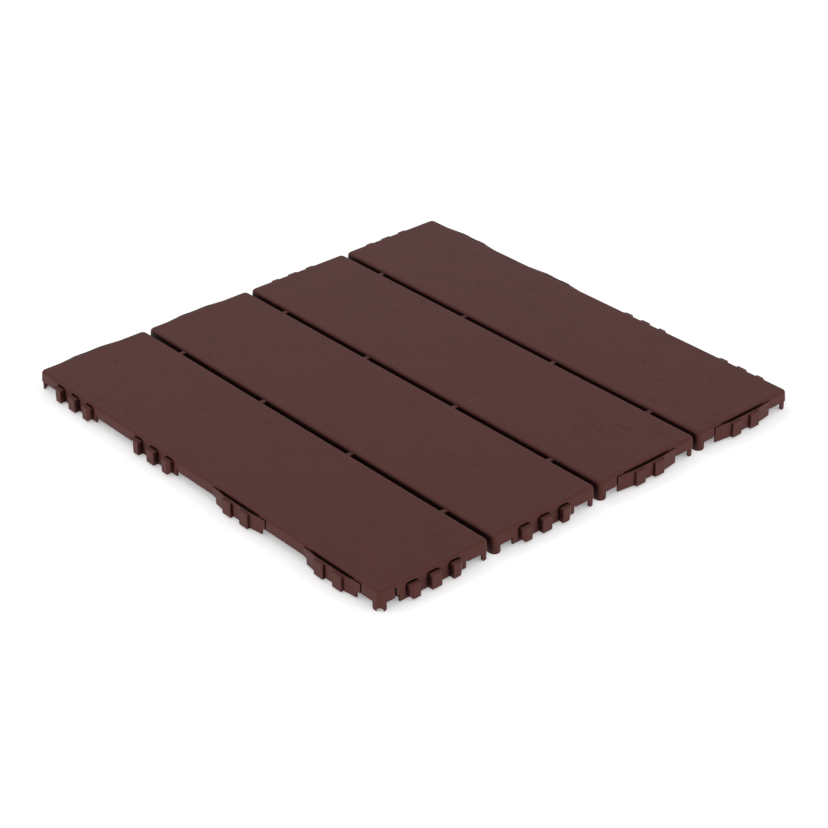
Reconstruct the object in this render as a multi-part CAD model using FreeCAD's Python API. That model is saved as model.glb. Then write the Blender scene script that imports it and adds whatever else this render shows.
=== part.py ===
"""Interlocking deck tile: four slats, ribbed underneath, moulded in one piece with its edge connectors.

Millimetres, +Z up, slats along Y, origin on the ground under the middle of the tile.
"""
import FreeCAD, Part
import os

Vector = FreeCAD.Vector

# Driving dimensions of the deck
TILE_PITCH = 300.0
SLAT_COUNT = 4
DECK_GAP = 3.5
TILE_HEIGHT = 11.5
SKIRT_DEPTH = 6.6
DRAFT_OUT = 0.4
CORNER_RADIUS = 3.0
TOP_RADIUS = 1.9

# Moulding thicknesses
PLATE = 2.0
WALL = 1.7
RIB = 1.3
LEG_WALL = 1.2

# Ribs, bridges and studs under the deck
CROSS_RIBS_PER_SLAT_PITCH = 2
LONG_RIB_OFFSET = 12.5
BRIDGE_THICKNESS = 3.0
BRIDGE_DROP = 1.25
STUD_WIDTH = 5.0

# Corner feet: an angle in plan, one leg along the slat's end and one along its side
FOOT_END_LEG = 4.5
FOOT_LONG_SIDE_LEG = 5.5
FOOT_SHORT_SIDE_LEG = 3.4
FOOT_INSET = 0.35
FOOT_CHAMFER = 0.8
CORNER_NOTCH_RADIUS = 1.7
CORNER_NOTCH_HEIGHT = 2.2

# Clip connector: a spring bar held off the skirt, with two tabs
CLIP_HALF = 21.8
CLIP_LEG_HALF_SIDE = 19.3
BAR_DROP = 1.3
BAR_END_REACH = 0.65
BAR_REACH = 2.1
BAR_THICKNESS = 0.9
BAR_FLAT_HALF = 10.7
BAR_ARCH = 0.4
SLOT_HALF = 16.5
SLOT_SINK = 0.4
GROOVE_WIDTH = 0.45
GROOVE_DEPTH = 1.0
CLIP_TAB_CENTRE = 7.1
CLIP_TAB_WIDTH = 7.2
CLIP_TAB_REACH = 3.6
CLIP_TAB_DROP = 1.5
CLIP_TAB_RAMP = 0.6
CLIP_TAB_SKIRT = 0.2

# Keeper connector: three tabs standing in windows of the skirt
KEEPER_LEG_HALF_SIDE = 20.0
KEEPER_LEG_HALF_END = 21.7
KEEPER_REACH = 3.4
KEEPER_TAB_DROP = 2.3
TAB_CLEARANCE = 0.15
OUTER_TAB_FLAT = 4.4
OUTER_TAB_SLANT = 1.8
OUTER_TAB_SLANT_RISE = 1.2
OUTER_TAB_CORNER = 1.5
WINDOW_SIDE = 0.9
WINDOW_ABOVE = 1.0
WINDOW_SILL = 4.9

# Both connectors; those on the slat ends sit a little to one side of the slat centres
END_SHIFT = -1.4
LEG_DEPTH = 10.1
TAB_CHAMFER = 0.35
LEG_NOTCH_WIDTH = 1.1
LEG_NOTCH_RISE = 0.7
SLIT_OFFSET = 24.2
SLIT_WIDTH = 1.3
SLIT_HEIGHT = 5.5

# Worked out from the sizes above
SLAT_PITCH = TILE_PITCH / SLAT_COUNT
SLAT_HALF_X = (SLAT_PITCH - DECK_GAP) / 2
EDGE = (TILE_PITCH - DECK_GAP) / 2
SKIRT_Z = TILE_HEIGHT - SKIRT_DEPTH
LEG_Z = TILE_HEIGHT - LEG_DEPTH
PLATE_Z = TILE_HEIGHT - PLATE
KEEPER_MID_HALF = CLIP_TAB_CENTRE - CLIP_TAB_WIDTH / 2 - TAB_CLEARANCE
KEEPER_OUTER_START = CLIP_TAB_CENTRE + CLIP_TAB_WIDTH / 2 + TAB_CLEARANCE

# How far joined shapes overlap, how far a cut runs past what it opens, and when two places are one
OVERLAP = 0.6
PAST = 1.0
SAME = 1e-3


def centres():
    """Return the slat centres across the tile, which are also the connector centres along an edge."""
    first = -(SLAT_COUNT - 1) / 2 * SLAT_PITCH
    return [first + SLAT_PITCH * i for i in range(SLAT_COUNT)]


def block(x0, x1, y0, y1, z0, z1):
    """Return a box between two corners, given in any order along each axis."""
    low = Vector(min(x0, x1), min(y0, y1), min(z0, z1))
    return Part.makeBox(abs(x1 - x0), abs(y1 - y0), abs(z1 - z0), low)


def edge_prism(points, z0, z1):
    """Extrude a plan outline of (along, outward) points, drawn against the front edge plane."""
    corners = [Vector(along, -outward, z0) for along, outward in points]
    face = Part.Face(Part.makePolygon(corners + corners[:1]))
    return face.extrude(Vector(0, 0, z1 - z0))


def upright_edges(shape, shortest):
    """Return the straight edges of a shape that stand along Z and are at least this long."""
    found = []
    for edge in shape.Edges:
        box = edge.BoundBox
        if box.ZLength >= shortest and max(box.XLength, box.YLength) < shortest / 4:
            found.append(edge)
    return found


def slat_shell():
    """Return the solid outside of one slat: drafted sides, round corners and a rolled top edge."""
    x_top, y_top = SLAT_HALF_X, EDGE
    x_low, y_low = x_top + DRAFT_OUT, y_top + DRAFT_OUT
    body = Part.makeWedge(
        -x_low, SKIRT_Z, -y_low, -y_top, -x_top,
        x_low, TILE_HEIGHT, y_low, y_top, x_top,
    )
    body.rotate(Vector(0, 0, 0), Vector(1, 0, 0), 90)
    body = body.makeFillet(CORNER_RADIUS, upright_edges(body, SKIRT_DEPTH / 2))
    rim = [e for e in body.Edges if e.BoundBox.ZMin > TILE_HEIGHT - SAME]
    return body.makeFillet(TOP_RADIUS, rim)


def rib_lines(reach):
    """Return the cross rib centres: one in the middle, the rest out to the ends, some under the bridges."""
    pitch = SLAT_PITCH / CROSS_RIBS_PER_SLAT_PITCH
    count = int(reach // pitch)
    return [pitch * i for i in range(-count, count + 1)]


def spans(reach, lines):
    """Return the clear spans between two walls once ribs stand on the given lines."""
    starts = [-reach] + [line + RIB / 2 for line in lines]
    ends = [line - RIB / 2 for line in lines] + [reach]
    return list(zip(starts, ends))


def slat_pockets():
    """Return the hollows under one slat as one compound, leaving its walls and ribs."""
    across = spans(SLAT_HALF_X - WALL, [-LONG_RIB_OFFSET, LONG_RIB_OFFSET])
    inner = EDGE - WALL
    along = spans(inner, rib_lines(inner))
    cells = [
        block(x0, x1, y0, y1, SKIRT_Z - OVERLAP, PLATE_Z)
        for x0, x1 in across
        for y0, y1 in along
    ]
    return Part.makeCompound(cells)


def studs():
    """Return the square studs of one slat, which reach the ground where the ribs cross."""
    half = STUD_WIDTH / 2
    return [
        block(x - half, x + half, y - half, y + half, 0, PLATE_Z + OVERLAP)
        for x in (-LONG_RIB_OFFSET, LONG_RIB_OFFSET)
        for y in centres()
    ]


def corner_foot(side_leg):
    """Return the foot at a slat's +X +Y corner, with its free ends chamfered at the ground."""
    face = DRAFT_OUT - FOOT_INSET
    x1, y1 = SLAT_HALF_X + face, EDGE + face
    x0, y0 = x1 - FOOT_END_LEG, y1 - side_leg
    outer = block(x0, x1, y0, y1, 0, SKIRT_Z + OVERLAP)
    corner = [e for e in upright_edges(outer, SKIRT_Z) if e.BoundBox.XMin > x0 and e.BoundBox.YMin > y0]
    foot = outer.makeFillet(CORNER_RADIUS, corner)
    foot = foot.cut(block(x0 - PAST, x1 - LEG_WALL, y0 - PAST, y1 - LEG_WALL, -PAST, TILE_HEIGHT))
    ends = [
        e for e in foot.Edges
        if e.BoundBox.ZMax < SAME and e.Length < LEG_WALL + SAME
        and (e.BoundBox.XMax < x0 + SAME or e.BoundBox.YMax < y0 + SAME)
    ]
    return foot.makeChamfer(FOOT_CHAMFER, ends)


def corner_feet():
    """Return the four feet of one slat: long side legs at two opposite corners, short ones at the rest."""
    long_leg = corner_foot(FOOT_LONG_SIDE_LEG)
    short_leg = corner_foot(FOOT_SHORT_SIDE_LEG).mirror(Vector(0, 0, 0), Vector(1, 0, 0))
    feet = [long_leg, short_leg]
    for foot in (long_leg, short_leg):
        turned = foot.copy()
        turned.rotate(Vector(0, 0, 0), Vector(0, 0, 1), 180)
        feet.append(turned)
    return feet


def slat():
    """Return one whole slat, hollow underneath, standing on its studs and feet."""
    hollow = slat_shell().cut(slat_pockets())
    return hollow.fuse(studs() + corner_feet())


def bridges():
    """Return the ribs that run across the gaps and hold the slats together."""
    lines = centres()
    reach = DECK_GAP / 2 + WALL / 2
    result = []
    for left, right in zip(lines, lines[1:]):
        middle = (left + right) / 2
        for y in lines:
            result.append(block(
                middle - reach, middle + reach,
                y - BRIDGE_THICKNESS / 2, y + BRIDGE_THICKNESS / 2,
                SKIRT_Z, TILE_HEIGHT - BRIDGE_DROP,
            ))
    return result


def tab_chamfered(tab):
    """Chamfer a tab's upright edges at its tip."""
    tip = tab.BoundBox.YMin
    edges = [e for e in upright_edges(tab, TILE_HEIGHT / 4) if e.BoundBox.YMin < tip + SAME]
    return tab.makeChamfer(TAB_CHAMFER, edges)


def mirrored_outline(half):
    """Return a closed plan outline from the points of its +X half, listed from the X end inward."""
    return half + [(-along, outward) for along, outward in reversed(half)]


def bar_reach_at(along):
    """Return how far the bar's outer face stands out at a distance from the clip's middle."""
    slope = (BAR_REACH - BAR_END_REACH) / (CLIP_HALF - BAR_FLAT_HALF)
    return BAR_REACH - slope * max(0, along - BAR_FLAT_HALF)


def clip_bar(leg_half):
    """Return the clip's bar: it stands out in the middle and runs back to the skirt at its ends."""
    top = TILE_HEIGHT - BAR_DROP
    stations = [CLIP_HALF, BAR_FLAT_HALF]
    outer = [(along, bar_reach_at(along)) for along in stations]
    inner = [(along, outward - BAR_THICKNESS) for along, outward in outer]
    bar = edge_prism(mirrored_outline(outer) + mirrored_outline(inner)[::-1], LEG_Z, top)
    front = -BAR_REACH - PAST
    bar = bar.cut(block(-BAR_FLAT_HALF, BAR_FLAT_HALF, WALL, front, LEG_Z - PAST, LEG_Z + BAR_ARCH))
    for side in (-1, 1):
        bar = bar.cut(block(side * leg_half, side * (CLIP_HALF + PAST), WALL, front, 0, SKIRT_Z))
    return bar


def clip_bar_roots():
    """Return the two blocks that join the bar's ends to the skirt."""
    roots = []
    for side in (-1, 1):
        outline = [
            (side * SLOT_HALF, -WALL / 2),
            (side * SLOT_HALF, bar_reach_at(SLOT_HALF)),
            (side * CLIP_HALF, bar_reach_at(CLIP_HALF)),
            (side * CLIP_HALF, -WALL / 2),
        ]
        roots.append(edge_prism(outline, SKIRT_Z, TILE_HEIGHT - BAR_DROP))
    return roots


def clip_tab(centre):
    """Return one block tab on the clip's bar, its top sloping down to the tip."""
    root = TILE_HEIGHT - CLIP_TAB_DROP
    profile = [
        (BAR_REACH - BAR_THICKNESS / 2, LEG_Z - CLIP_TAB_SKIRT),
        (CLIP_TAB_REACH, LEG_Z - CLIP_TAB_SKIRT),
        (CLIP_TAB_REACH, root - CLIP_TAB_RAMP),
        (BAR_REACH - BAR_THICKNESS / 2, root),
    ]
    start = centre - CLIP_TAB_WIDTH / 2
    corners = [Vector(start, -outward, z) for outward, z in profile]
    face = Part.Face(Part.makePolygon(corners + corners[:1]))
    return tab_chamfered(face.extrude(Vector(CLIP_TAB_WIDTH, 0, 0)))


def clip_slot():
    """Return the cut behind the clip's bar, which lets the bar spring back."""
    half = [(SLOT_HALF, -SLOT_SINK)]
    for along in (SLOT_HALF, BAR_FLAT_HALF):
        half.append((along, bar_reach_at(along) - BAR_THICKNESS))
    return edge_prism(mirrored_outline(half), -PAST, TILE_HEIGHT + PAST)


def clip_grooves():
    """Return the fine grooves that part the bar's two ends from the skirt."""
    bar_top = TILE_HEIGHT - BAR_DROP
    inner = GROOVE_WIDTH / 4
    cuts = []
    for side in (-1, 1):
        cuts.append(block(
            side * (SLOT_HALF - OVERLAP), side * CLIP_HALF, inner, inner - GROOVE_WIDTH,
            bar_top - GROOVE_DEPTH, TILE_HEIGHT + PAST,
        ))
        cuts.append(block(
            side * CLIP_HALF, side * (CLIP_HALF + GROOVE_WIDTH), GROOVE_WIDTH, -PAST,
            SKIRT_Z - PAST, bar_top,
        ))
    return cuts


def clip(on_side_edge):
    """Return what a clip connector adds to the tile and what it cuts away, as two lists."""
    leg_half = CLIP_LEG_HALF_SIDE if on_side_edge else CLIP_HALF
    grooves = Part.makeCompound(clip_grooves())
    solid = clip_bar(leg_half).fuse(clip_bar_roots()).cut(grooves)
    tabs = [clip_tab(side * CLIP_TAB_CENTRE) for side in (-1, 1)]
    return [solid] + tabs, [clip_slot()] + clip_grooves() + leg_notches(leg_half)


def keeper_outer_tab():
    """Return the keeper's outer tab on the +X side: square inside, slanted back and chamfered outside."""
    top = TILE_HEIGHT - KEEPER_TAB_DROP
    flat_end = KEEPER_OUTER_START + OUTER_TAB_FLAT
    slant_end = flat_end + OUTER_TAB_SLANT
    tab = edge_prism(
        [
            (KEEPER_OUTER_START, -WALL),
            (KEEPER_OUTER_START, KEEPER_REACH),
            (flat_end, KEEPER_REACH),
            (slant_end, KEEPER_REACH - OUTER_TAB_SLANT_RISE),
            (slant_end, -WALL),
        ],
        LEG_Z, top,
    )
    form = block(KEEPER_OUTER_START - PAST, slant_end, WALL + PAST, -KEEPER_REACH - PAST, LEG_Z, top + PAST)
    low_edge = [
        e for e in form.Edges
        if e.BoundBox.YLength > KEEPER_REACH and e.BoundBox.ZMax < LEG_Z + SAME
        and e.BoundBox.XMin > slant_end - SAME
    ]
    return tab.common(form.makeChamfer(OUTER_TAB_CORNER, low_edge))


def keeper_tabs():
    """Return the keeper's three tabs."""
    middle = edge_prism(
        [
            (-KEEPER_MID_HALF, -WALL), (-KEEPER_MID_HALF, KEEPER_REACH),
            (KEEPER_MID_HALF, KEEPER_REACH), (KEEPER_MID_HALF, -WALL),
        ],
        LEG_Z, TILE_HEIGHT - KEEPER_TAB_DROP,
    )
    outer = keeper_outer_tab()
    return [tab_chamfered(middle), outer, outer.mirror(Vector(0, 0, 0), Vector(1, 0, 0))]


def keeper_window(start, end):
    """Return the arch-topped cut in the skirt around the tab that stands from start to end."""
    low, high = start - WINDOW_SIDE, end + WINDOW_SIDE
    top = TILE_HEIGHT - KEEPER_TAB_DROP + WINDOW_ABOVE
    window = block(low, high, -PAST, WALL + OVERLAP, WINDOW_SILL, top)
    radius = WINDOW_SIDE + WINDOW_ABOVE
    arch = [e for e in window.Edges if e.BoundBox.YLength > WALL and e.BoundBox.ZMin > top - SAME]
    return window.makeFillet(radius, arch)


def keeper(on_side_edge):
    """Return what a keeper connector adds to the tile and what it cuts away, as two lists."""
    half = KEEPER_LEG_HALF_SIDE if on_side_edge else KEEPER_LEG_HALF_END
    face = DRAFT_OUT / 2
    leg = block(-half, half, -face, LEG_WALL - face, LEG_Z, SKIRT_Z + OVERLAP)
    outer_end = KEEPER_OUTER_START + OUTER_TAB_FLAT + OUTER_TAB_SLANT
    windows = [
        keeper_window(-KEEPER_MID_HALF, KEEPER_MID_HALF),
        keeper_window(KEEPER_OUTER_START, outer_end),
        keeper_window(-outer_end, -KEEPER_OUTER_START),
    ]
    return [leg] + keeper_tabs(), windows + leg_notches(half)


def leg_notches(half):
    """Return the small notches in the skirt's lower edge just outside a connector's leg."""
    return [
        block(
            side * half, side * (half + LEG_NOTCH_WIDTH), -PAST, WALL + OVERLAP,
            SKIRT_Z - PAST, SKIRT_Z + LEG_NOTCH_RISE,
        )
        for side in (-1, 1)
    ]


def end_slit():
    """Return the relief slit beside the first keeper on an end edge."""
    start = -SLIT_OFFSET - SLIT_WIDTH / 2
    return block(start, start + SLIT_WIDTH, -PAST, WALL + OVERLAP, SKIRT_Z - PAST, SKIRT_Z + SLIT_HEIGHT)


def placed(shape, along, quarter):
    """Move a shape drawn at the front edge plane along that edge, then turn it to its own edge."""
    result = shape.copy()
    result.translate(Vector(along, -EDGE, 0))
    result.rotate(Vector(0, 0, 0), Vector(0, 0, 1), 90 * quarter)
    return result


def connectors():
    """Return what the connectors add and what they cut: on each edge two keepers, then two clips."""
    added, cut = [], []
    lines = centres()
    half_count = len(lines) // 2
    for quarter in range(4):
        on_side_edge = quarter % 2 == 1
        for index, along in enumerate(lines):
            make = keeper if index < half_count else clip
            adds, cuts = make(on_side_edge)
            if index == 0 and not on_side_edge:
                cuts = cuts + [end_slit()]
            if not on_side_edge:
                along += END_SHIFT if quarter == 0 else -END_SHIFT
            added += [placed(shape, along, quarter) for shape in adds]
            cut += [placed(shape, along, quarter) for shape in cuts]
    return added, cut


def corner_notch():
    """Return the round-topped notch under the foot at the tile's front left corner."""
    depth = 4 * WALL
    middle = CORNER_NOTCH_HEIGHT - CORNER_NOTCH_RADIUS
    arch = Part.makeCylinder(CORNER_NOTCH_RADIUS, depth, Vector(0, -depth / 2, middle), Vector(0, 1, 0))
    notch = arch.fuse(block(-CORNER_NOTCH_RADIUS, CORNER_NOTCH_RADIUS, -depth / 2, depth / 2, -PAST, middle))
    notch.rotate(Vector(0, 0, 0), Vector(0, 0, 1), -45)
    notch.translate(Vector(-EDGE, -EDGE, 0))
    return notch


def deck_tile():
    """Return the whole moulding as one solid."""
    one = slat()
    slats = []
    for x in centres():
        copy = one.copy()
        copy.translate(Vector(x, 0, 0))
        slats.append(copy)
    added, cut = connectors()
    deck = slats[0].fuse(slats[1:] + bridges())
    deck = deck.cut(Part.makeCompound(cut[:1]).fuse(cut[1:]))
    deck = deck.cut(corner_notch())
    return deck.fuse(added).removeSplitter()


def main():
    """Build the tile and write its STEP file."""
    os.makedirs("parts", exist_ok=True)
    tile = deck_tile()
    print("solids", len(tile.Solids), "valid", tile.isValid(), "faces", len(tile.Faces))
    print("box", tile.BoundBox, "volume", round(tile.Volume))
    if len(tile.Solids) == 1:
        tile = tile.Solids[0]
    tile.exportStep("parts/deck_tile.step")


main()
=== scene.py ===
"""Looks of an interlocking deck tile: dark red-brown moulded plastic with a wood grain, in soft light.

Metres, +Z up, slats along Y, origin on the ground under the middle of the tile.
"""
import logging
import math
from dataclasses import dataclass, field
from enum import Enum

import bmesh
import bpy
from mathutils import Matrix, Vector

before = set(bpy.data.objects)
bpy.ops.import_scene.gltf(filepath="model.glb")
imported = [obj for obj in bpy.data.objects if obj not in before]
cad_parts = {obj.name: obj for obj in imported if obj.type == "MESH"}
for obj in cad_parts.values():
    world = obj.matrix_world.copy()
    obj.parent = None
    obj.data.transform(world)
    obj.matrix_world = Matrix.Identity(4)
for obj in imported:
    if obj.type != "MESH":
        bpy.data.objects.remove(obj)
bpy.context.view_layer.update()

MM = 0.001
IMAGE_SIZE = 828
WHITE = (1.0, 1.0, 1.0, 1.0)
EVEN = (1.0, 1.0, 1.0)

Socket = bpy.types.NodeSocket

log = logging.getLogger("deck_tile")


class Facing(Enum):
    """Which way a studio lamp stands from the tile, as a compass angle from +X towards +Y, in degrees."""

    LEFT = 165.0
    BACK_LEFT = 94.0
    RIGHT = 293.0
    FRONT = 229.0


@dataclass(frozen=True)
class NodeKit:
    """Builds one node material, a node at a time."""

    material: bpy.types.Material

    @classmethod
    def start(cls, name: str) -> "NodeKit":
        """Start a new material.

        Args:
            name: The material's name.

        Returns:
            A kit that builds it.
        """
        material = bpy.data.materials.new(name)
        material.use_nodes = True
        return cls(material)

    @property
    def shader(self) -> bpy.types.Node:
        """The material's principled shader."""
        return self.material.node_tree.nodes["Principled BSDF"]

    def add(self, kind: str) -> bpy.types.Node:
        """Add a node.

        Args:
            kind: The node's type name.

        Returns:
            The new node.
        """
        return self.material.node_tree.nodes.new(kind)

    def join(self, source: Socket, target: Socket) -> None:
        """Link an output to an input.

        Args:
            source: The output.
            target: The input.
        """
        self.material.node_tree.links.new(source, target)

    def place(self) -> Socket:
        """Read the piece's own coordinates, in metres.

        Returns:
            The coordinates' socket.
        """
        return self.add("ShaderNodeTexCoord").outputs["Object"]

    def split(self, vector: Socket) -> bpy.types.Node:
        """Split a vector into its parts.

        Args:
            vector: The vector's socket.

        Returns:
            The node with the outputs X, Y and Z.
        """
        node = self.add("ShaderNodeSeparateXYZ")
        self.join(vector, node.inputs["Vector"])
        return node

    def math(self, operation: str, *values: Socket | float) -> Socket:
        """Work out a sum, product or the like.

        Args:
            operation: The math node's operation.
            values: Sockets or numbers, in the node's order.

        Returns:
            The result's socket.
        """
        node = self.add("ShaderNodeMath")
        node.operation = operation
        for slot, value in zip(node.inputs, values):
            if isinstance(value, bpy.types.NodeSocket):
                self.join(value, slot)
            else:
                slot.default_value = value
        return node.outputs["Value"]

    def ramp(self, factor: Socket, low: float, high: float) -> Socket:
        """Spread a factor between two values smoothly over nought to one.

        Args:
            factor: The factor to spread.
            low: The value that becomes nought.
            high: The value that becomes one.

        Returns:
            The spread factor's socket.
        """
        node = self.add("ShaderNodeMapRange")
        node.interpolation_type = "SMOOTHSTEP"
        node.inputs["From Min"].default_value = low
        node.inputs["From Max"].default_value = high
        self.join(factor, node.inputs["Value"])
        return node.outputs["Result"]

    def noise(self, place: Socket, stretch: tuple[float, float, float], size: float, detail: float) -> Socket:
        """Add a noise of a real size on the piece.

        Args:
            place: The coordinates to read.
            stretch: How many times longer the noise is along each axis.
            size: The size of one patch, in metres.
            detail: The noise's detail.

        Returns:
            The noise's factor socket.
        """
        mapping = self.add("ShaderNodeMapping")
        mapping.inputs["Scale"].default_value = [1.0 / (size * times) for times in stretch]
        self.join(place, mapping.inputs["Vector"])
        node = self.add("ShaderNodeTexNoise")
        node.inputs["Scale"].default_value = 1.0
        node.inputs["Detail"].default_value = detail
        self.join(mapping.outputs["Vector"], node.inputs["Vector"])
        return node.outputs["Fac"]

    def blend(self, colour: tuple[float, float, float], shade: float, factor: Socket) -> Socket:
        """Mix a colour with a darker shade of itself.

        Args:
            colour: The full colour.
            shade: How dark the other colour is against it.
            factor: The socket that mixes them.

        Returns:
            The mixed colour's socket.
        """
        node = self.add("ShaderNodeMix")
        node.data_type = "RGBA"
        node.inputs["A"].default_value = (*colour, 1.0)
        node.inputs["B"].default_value = (*[part * shade for part in colour], 1.0)
        self.join(factor, node.inputs["Factor"])
        return node.outputs["Result"]

    def darken(self, colour: Socket, shade: float, factor: Socket) -> Socket:
        """Darken a colour by a factor.

        Args:
            colour: The colour's socket.
            shade: How dark the colour becomes where the factor is one.
            factor: The factor's socket.

        Returns:
            The darkened colour's socket.
        """
        node = self.add("ShaderNodeMix")
        node.data_type = "RGBA"
        node.blend_type = "MULTIPLY"
        self.join(factor, node.inputs["Factor"])
        self.join(colour, node.inputs["A"])
        node.inputs["B"].default_value = (shade, shade, shade, 1.0)
        return node.outputs["Result"]

    def bump(self, height: Socket, depth: float, normal: Socket) -> Socket:
        """Add a bump of a real depth on top of a normal.

        Args:
            height: The height's factor socket.
            depth: The full height, in metres, less than nought for a hollow.
            normal: The normal to start from.

        Returns:
            The new normal's socket.
        """
        node = self.add("ShaderNodeBump")
        node.invert = depth < 0
        node.inputs["Strength"].default_value = 1.0
        node.inputs["Distance"].default_value = abs(depth)
        self.join(height, node.inputs["Height"])
        self.join(normal, node.inputs["Normal"])
        return node.outputs["Normal"]


@dataclass(frozen=True)
class WoodGrain:
    """Short fine strokes along the slats, in loose groups, pressed into the walking surface."""

    width: float = 0.7 * MM
    length: float = 9.0 * MM
    depth: float = 0.10 * MM
    shade: float = 0.74
    stroke_detail: float = 2.0
    stroke_start: float = 0.56
    stroke_full: float = 0.68
    group_widths: float = 14.0
    group_stretch: float = 2.5
    group_detail: float = 1.0
    group_start: float = 0.42
    group_full: float = 0.62
    tilted: float = 0.95
    level: float = 0.999

    def on_walking_face(self, kit: NodeKit) -> Socket:
        """Find the faces that look up.


        Returns:
            A factor that is one on level faces and nought on others.
        """
        normal = kit.add("ShaderNodeNewGeometry").outputs["Normal"]
        return kit.ramp(kit.split(normal).outputs["Z"], self.tilted, self.level)

    def press(self, kit: NodeKit, place: Socket) -> Socket:
        """Draw the grain.

        Args:
            place: The piece's coordinates.

        Returns:
            A factor that is one in the strokes and nought between them.
        """
        along_slat = (1.0, self.length / self.width, 1.0)
        strokes = kit.noise(place, along_slat, self.width, self.stroke_detail)
        group_shape = (1.0, self.group_stretch, 1.0)
        groups = kit.noise(place, group_shape, self.group_widths * self.width, self.group_detail)
        fine = kit.ramp(strokes, self.stroke_start, self.stroke_full)
        gathered = kit.ramp(groups, self.group_start, self.group_full)
        grain = kit.math("MULTIPLY", fine, gathered)
        return kit.math("MULTIPLY", grain, self.on_walking_face(kit))


@dataclass(frozen=True)
class PaintedRecessShade:
    """Painted shade in the gaps and pockets of the moulding: the colour darkens where the plastic is closed
    in.
    """

    shade: float = 0.10
    reach: float = 8.0 * MM
    closed: float = 0.35
    opened: float = 0.95
    samples: int = 8

    def find(self, kit: NodeKit) -> Socket:
        """Find how deep in a recess a place is, to paint shade there.

        Returns:
            A factor that is one deep in a recess and nought on an open face.
        """
        shelter = kit.add("ShaderNodeAmbientOcclusion")
        shelter.samples = self.samples
        shelter.only_local = True
        shelter.inputs["Distance"].default_value = self.reach
        openness = kit.ramp(shelter.outputs["AO"], self.closed, self.opened)
        return kit.math("SUBTRACT", 1.0, openness)


@dataclass(frozen=True)
class MouldedPlastic:
    """Satin moulded plastic with a fine skin and a wood grain."""

    name: str = "moulded_plastic"
    colour: tuple[float, float, float] = (0.086, 0.0288, 0.0245)
    cloud_shade: float = 0.93
    cloud_size: float = 35.0 * MM
    cloud_detail: float = 3.0
    roughness: float = 0.34
    roughness_spread: float = 0.05
    ior: float = 1.47
    gloss: float = 0.08
    edge_radius: float = 0.25 * MM
    edge_samples: int = 6
    skin_size: float = 0.35 * MM
    skin_depth: float = 0.012 * MM
    skin_detail: float = 2.0
    grain: WoodGrain = field(default_factory=WoodGrain)
    # Painted shade for the gaps and pockets.
    painted_recess_shade: PaintedRecessShade = field(default_factory=PaintedRecessShade)

    def build(self) -> bpy.types.Material:
        """Build the node material.

        Returns:
            The finished material.
        """
        kit = NodeKit.start(self.name)
        kit.shader.inputs["IOR"].default_value = self.ior
        kit.shader.inputs["Specular IOR Level"].default_value = self.gloss
        place = kit.place()
        pressed = self.grain.press(kit, place)
        clouds = kit.noise(place, EVEN, self.cloud_size, self.cloud_detail)
        kit.join(self.shaded(kit, pressed, clouds), kit.shader.inputs["Base Color"])
        kit.join(self.dulled(kit, pressed, clouds), kit.shader.inputs["Roughness"])
        kit.join(self.relief(kit, pressed, place), kit.shader.inputs["Normal"])
        return kit.material

    def shaded(self, kit: NodeKit, pressed: Socket, clouds: Socket) -> Socket:
        """Darken the plastic a little in wide clouds, more in the grain, and most in the gaps and pockets,
        where shade is painted into the colour.

        Args:
            pressed: The grain's factor.
            clouds: The wide noise's factor.

        Returns:
            The colour's socket.
        """
        clouded = kit.blend(self.colour, self.cloud_shade, clouds)
        grained = kit.darken(clouded, self.grain.shade, pressed)
        # Painted shade: the colour is darkened in the gaps and pockets, by how closed in each place is.
        return kit.darken(grained, self.painted_recess_shade.shade, self.painted_recess_shade.find(kit))

    def dulled(self, kit: NodeKit, pressed: Socket, clouds: Socket) -> Socket:
        """Vary the roughness a little, rougher in the grain.

        Args:
            pressed: The grain's factor.
            clouds: The wide noise's factor.

        Returns:
            The roughness socket.
        """
        spread = kit.math("MULTIPLY", clouds, self.roughness_spread)
        base = kit.math("ADD", spread, self.roughness)
        rougher = kit.math("MULTIPLY", pressed, self.roughness_spread)
        return kit.math("ADD", base, rougher)

    def relief(self, kit: NodeKit, pressed: Socket, place: Socket) -> Socket:
        """Round the edges a little, press the grain in and roughen the skin.

        Args:
            pressed: The grain's factor.
            place: The piece's coordinates.

        Returns:
            The normal's socket.
        """
        edge = kit.add("ShaderNodeBevel")
        edge.samples = self.edge_samples
        edge.inputs["Radius"].default_value = self.edge_radius
        skin = kit.noise(place, EVEN, self.skin_size, self.skin_detail)
        grained = kit.bump(pressed, -self.grain.depth, edge.outputs["Normal"])
        return kit.bump(skin, self.skin_depth, grained)


@dataclass(frozen=True)
class PaleFloor:
    """Matt white studio floor that glows evenly like a light table, with a painted shadow: no glow right
    under the tile.
    """

    name: str = "pale_floor"
    colour: tuple[float, float, float] = (0.88, 0.88, 0.88)
    roughness: float = 0.9
    glow: float = 0.34
    painted_shadow_half_side: float = 125.0 * MM
    glow_half_side: float = 150.0 * MM

    def build(self) -> bpy.types.Material:
        """Build the node material.

        Returns:
            The finished material.
        """
        kit = NodeKit.start(self.name)
        kit.shader.inputs["Base Color"].default_value = (*self.colour, 1.0)
        kit.shader.inputs["Roughness"].default_value = self.roughness
        kit.shader.inputs["Emission Color"].default_value = (*self.colour, 1.0)
        kit.join(self.glow_around(kit), kit.shader.inputs["Emission Strength"])
        return kit.material

    def glow_around(self, kit: NodeKit) -> Socket:
        """Let the floor glow around the tile, with a painted shadow where the glow is left out right under
        it.

        Returns:
            The glow's strength socket.
        """
        parts = kit.split(kit.place())
        across = kit.math("ABSOLUTE", parts.outputs["X"])
        along = kit.math("ABSOLUTE", parts.outputs["Y"])
        outward = kit.math("MAXIMUM", across, along)
        # Painted shadow: the glow is nought under the tile and fades in just outside its edge.
        around = kit.ramp(outward, self.painted_shadow_half_side, self.glow_half_side)
        return kit.math("MULTIPLY", around, self.glow)


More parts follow.
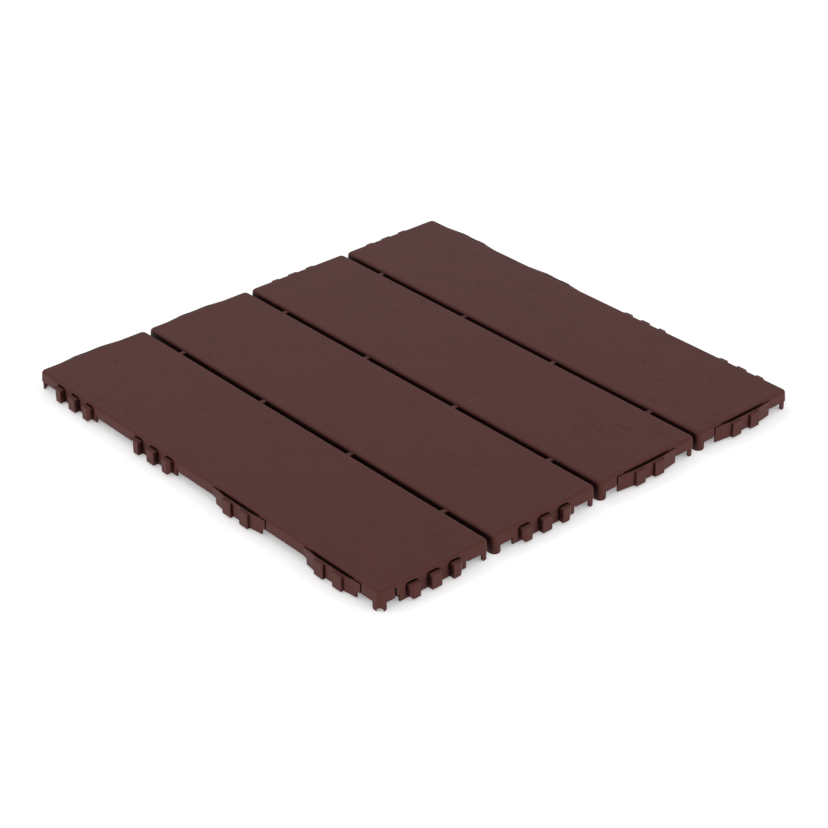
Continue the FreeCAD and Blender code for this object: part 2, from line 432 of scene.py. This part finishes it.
@dataclass
class DeckTile:
    """The tile itself: one moulding, kept as it is built and dressed in its plastic."""

    node: str = "deck_tile"
    plastic: MouldedPlastic = field(default_factory=MouldedPlastic)

    def dress(self) -> bpy.types.Object:
        """Give the moulding its plastic.

        Returns:
            The dressed object.
        """
        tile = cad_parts[self.node]
        tile.data.materials.clear()
        tile.data.materials.append(self.plastic.build())
        return tile


@dataclass(frozen=True)
class SoftBox:
    """A square studio lamp that faces the tile, with its angles in degrees and its power in watts."""

    name: str
    facing: Facing
    elevation: float
    distance: float
    size: float
    power: float

    def away(self) -> Vector:
        """Find the way from the tile to the lamp.

        Returns:
            The direction, of length one.
        """
        compass = math.radians(self.facing.value)
        rise = math.radians(self.elevation)
        flat = math.cos(rise)
        return Vector((flat * math.cos(compass), flat * math.sin(compass), math.sin(rise)))

    def build(self) -> bpy.types.Object:
        """Build the lamp and turn it to the tile.

        Returns:
            The lamp object.
        """
        lamp = bpy.data.lights.new(self.name, "AREA")
        lamp.size = self.size
        lamp.energy = self.power
        stand = bpy.data.objects.new(self.name, lamp)
        stand.location = self.away() * self.distance
        stand.rotation_euler = self.away().to_track_quat("Z", "Y").to_euler()
        bpy.context.scene.collection.objects.link(stand)
        return stand


@dataclass
class Studio:
    """The plain floor, the lamps and the even light of the room."""

    floor_side: float = 14.0
    room_light: float = 0.78
    floor_finish: PaleFloor = field(default_factory=PaleFloor)
    lamps: tuple[SoftBox, ...] = (
        SoftBox("left_box", Facing.LEFT, elevation=21.0, distance=1.2, size=0.6, power=2.0),
        SoftBox("right_box", Facing.RIGHT, elevation=19.0, distance=1.8, size=0.8, power=5.0),
        SoftBox("back_left_box", Facing.BACK_LEFT, elevation=45.0, distance=1.8, size=1.0, power=2.0),
        SoftBox("front_glint", Facing.FRONT, elevation=36.0, distance=1.8, size=0.05, power=2.0),
    )

    def build_floor(self) -> bpy.types.Object:
        """Lay the floor on the ground plane.

        Returns:
            The floor object.
        """
        mesh = bpy.data.meshes.new("floor")
        shape = bmesh.new()
        bmesh.ops.create_grid(shape, x_segments=1, y_segments=1, size=self.floor_side / 2)
        shape.to_mesh(mesh)
        shape.free()
        floor = bpy.data.objects.new("floor", mesh)
        floor.data.materials.append(self.floor_finish.build())
        bpy.context.scene.collection.objects.link(floor)
        return floor

    def build_room(self) -> bpy.types.World:
        """Fill the room with even white light.

        Returns:
            The scene's world.
        """
        world = bpy.data.worlds.new("room")
        world.use_nodes = True
        sky = world.node_tree.nodes["Background"]
        sky.inputs["Color"].default_value = WHITE
        sky.inputs["Strength"].default_value = self.room_light
        bpy.context.scene.world = world
        return world

    def build(self) -> None:
        """Build the whole studio, and show its light without a film look."""
        self.build_floor()
        self.build_room()
        for lamp in self.lamps:
            lamp.build()
        view = bpy.context.scene.view_settings
        view.view_transform = "Standard"
        view.look = "None"


@dataclass(frozen=True)
class PhotoCamera:
    """The camera that took the photograph, found from the tile's outline in it, with angles in degrees."""

    azimuth: float = -40.877
    elevation: float = 30.271
    roll: float = -0.502
    distance: float = 1271.73 * MM
    target: tuple[float, float, float] = (3.63 * MM, 0.80 * MM, -12.56 * MM)
    focal_pixels: float = 2245.7
    sensor: float = 36.0
    clip_start: float = 50.0 * MM

    def axes(self) -> tuple[Vector, Vector, Vector]:
        """Find how the camera is turned.

        Returns:
            Its right, up and back directions.
        """
        azimuth = math.radians(self.azimuth)
        elevation = math.radians(self.elevation)
        back = Vector((
            math.sin(azimuth) * math.cos(elevation),
            -math.cos(azimuth) * math.cos(elevation),
            math.sin(elevation),
        ))
        level = Vector((math.cos(azimuth), math.sin(azimuth), 0.0))
        right = Matrix.Rotation(math.radians(self.roll), 3, back) @ level
        return right, back.cross(right), back

    def build(self) -> bpy.types.Object:
        """Build the camera and make it the scene's own.

        Returns:
            The camera object.
        """
        data = bpy.data.cameras.new("photo_camera")
        data.sensor_width = self.sensor
        data.lens = self.focal_pixels / IMAGE_SIZE * self.sensor
        data.clip_start = self.clip_start
        camera = bpy.data.objects.new("photo_camera", data)
        right, up, back = self.axes()
        turn = Matrix((right, up, back)).transposed().to_4x4()
        place = Vector(self.target) + back * self.distance
        camera.matrix_world = Matrix.Translation(place) @ turn
        bpy.context.scene.collection.objects.link(camera)
        bpy.context.scene.camera = camera
        return camera


def main() -> None:
    """Dress the tile, build the studio and the camera, and report each."""
    logging.basicConfig(level=logging.INFO, format="%(name)s: %(message)s")
    tile = DeckTile().dress()
    log.info("%s dressed, %d faces", tile.name, len(tile.data.polygons))
    studio = Studio()
    studio.build()
    log.info("studio built with %d lamps", len(studio.lamps))
    camera = PhotoCamera().build()
    log.info("camera with a %.1f mm lens", camera.data.lens)


if __name__ == "__main__":
    main()
